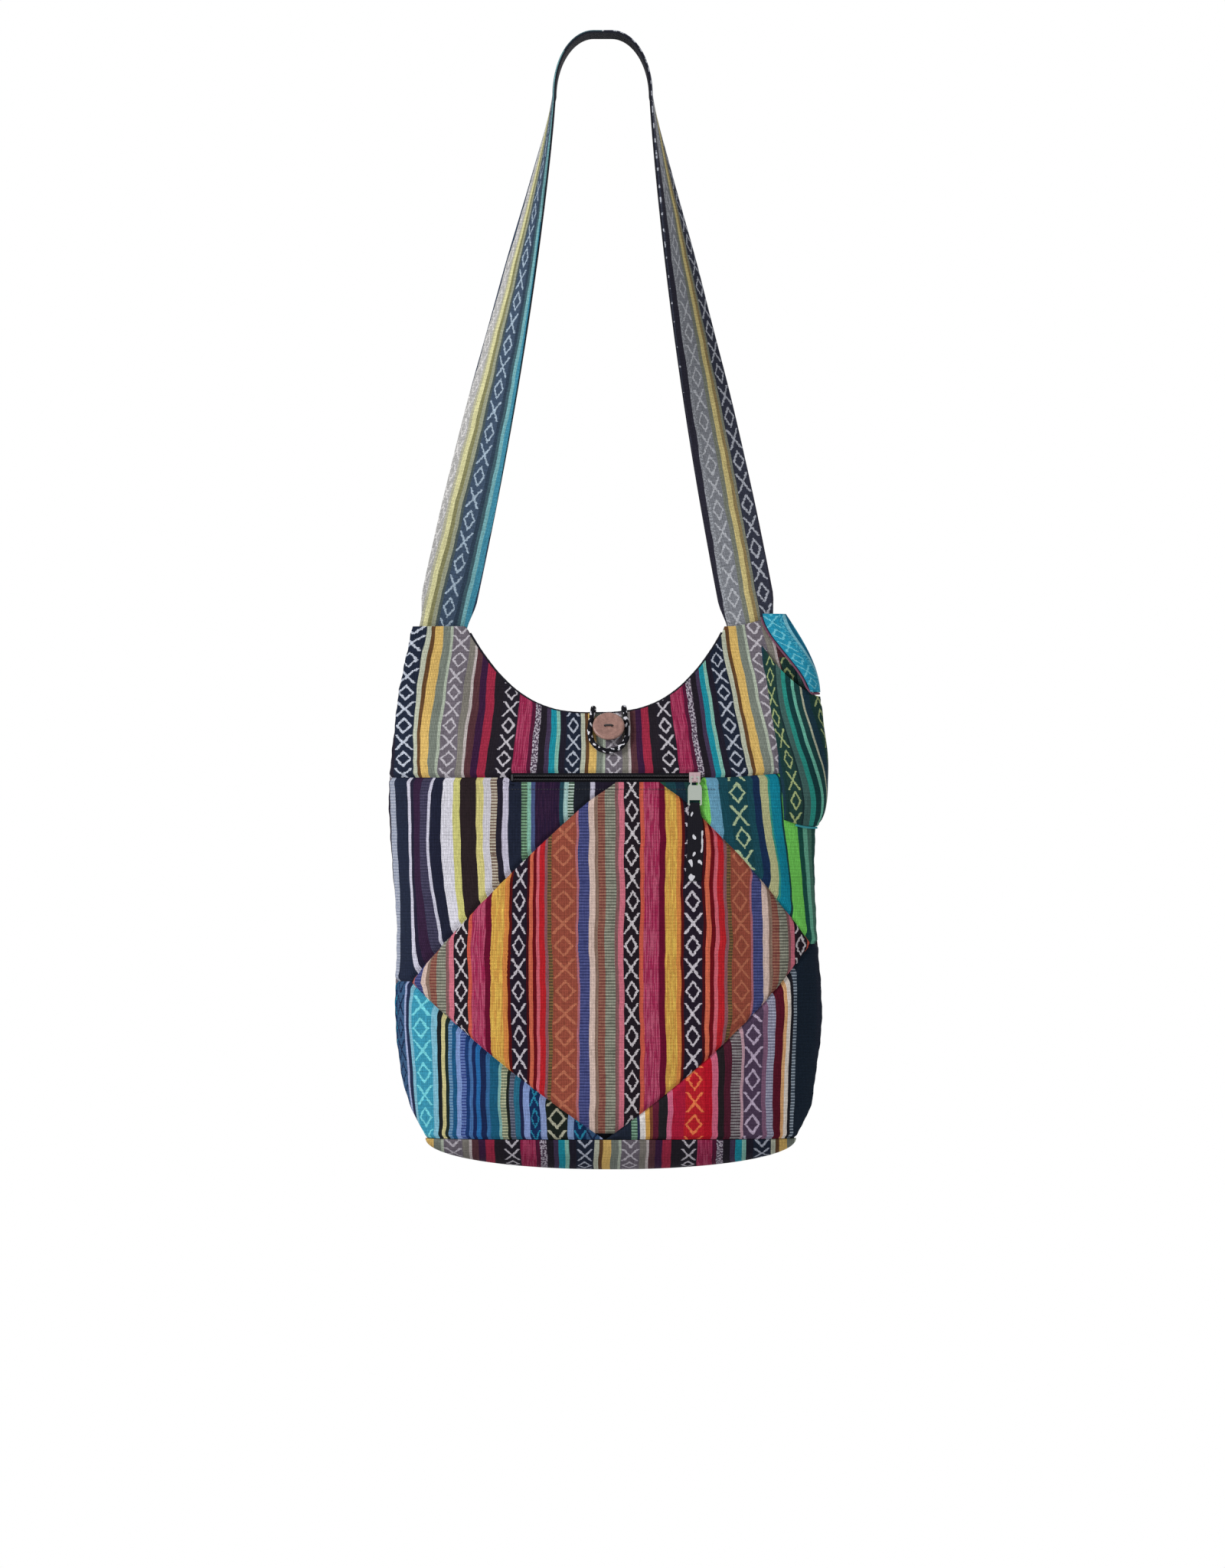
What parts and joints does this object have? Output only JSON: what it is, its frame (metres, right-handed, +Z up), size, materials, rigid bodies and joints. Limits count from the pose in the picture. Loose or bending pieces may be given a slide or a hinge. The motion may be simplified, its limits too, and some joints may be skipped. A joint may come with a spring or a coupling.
{
  "type": "woven patchwork shoulder bag",
  "caption": "Slouchy shoulder bag of striped handwoven cotton patches with a long cloth strap, a front zip pocket, a coconut button with a loop and a phone pocket on its side.",
  "frame": {"origin": "middle of the strap's crown, on the underside of its lining, where a hook or a shoulder holds the bag", "axes": "+Z up along the hanging bag, +X to the right seen from the front, +Y from the front to the back"},
  "size_m": [0.3932, 0.1005, 1.0171],
  "materials": {
    "striped_cotton_blue": "matte, striped with blue, navy and cream yarns",
    "striped_cotton_green": "matte, striped with dark green, teal and lime yarns",
    "striped_cotton_red": "matte, striped with crimson, mustard, black and terracotta yarns",
    "striped_cotton_dark": "matte, striped with black, grey, crimson, teal and yellow yarns",
    "striped_cotton_grey": "matte, striped with grey, navy, teal and cream yarns",
    "lining_cotton": "matte plain weave",
    "black_cotton": "matte plain weave",
    "turquoise_cotton": "matte plain weave",
    "plum_cotton": "matte plain weave",
    "black_nylon": "satin",
    "silver_metal": "satin plated",
    "coconut_shell": "satin, speckled"
  },
  "bodies": {
    "bag": {"patch_upper_left": "striped_cotton_blue", "patch_upper_right": "striped_cotton_green", "diamond_patch": "striped_cotton_red", "patch_lower_left": "striped_cotton_blue", "patch_lower_right": "striped_cotton_red", "front_yoke": "striped_cotton_dark", "back_panel": "striped_cotton_dark", "bottom_band": "striped_cotton_dark", "lining": "lining_cotton", "neckline_binding_front": "black_cotton", "neckline_binding_back": "black_cotton", "strap_left": "striped_cotton_grey", "strap_right": "striped_cotton_grey", "strap_lining": "black_cotton", "zip_coil_upper": "black_nylon", "zip_tape_upper": "black_cotton", "zip_coil_lower": "black_nylon", "zip_tape_lower": "black_cotton", "zip_stop_left": "black_nylon", "zip_pocket_backing": "lining_cotton", "coconut_button": "coconut_shell", "button_thread": "black_cotton", "phone_pocket_front": "striped_cotton_green", "phone_pocket_back": "striped_cotton_green", "pocket_piping": "turquoise_cotton", "phone_pocket_flap": "turquoise_cotton", "flap_lining": "lining_cotton", "flap_piping": "plum_cotton", "closure_loop": "black_cotton"},
    "slider": {"zip_slider": "silver_metal"},
    "puller": {"zip_puller": "silver_metal", "zip_pull_strip": "black_cotton"}
  },
  "joints": [
    {"name": "zip_slide", "type": "slide", "parent": "bag", "child": "slider", "axis": [-1, 0, 0], "range_m": [0, 0.154]},
    {"name": "puller_swing", "type": "hinge", "parent": "slider", "child": "puller", "pos_m": [0.082, -0.04099, -0.66311], "axis": [-1, 0, 0], "range_deg": [0, 170]}
  ]
}
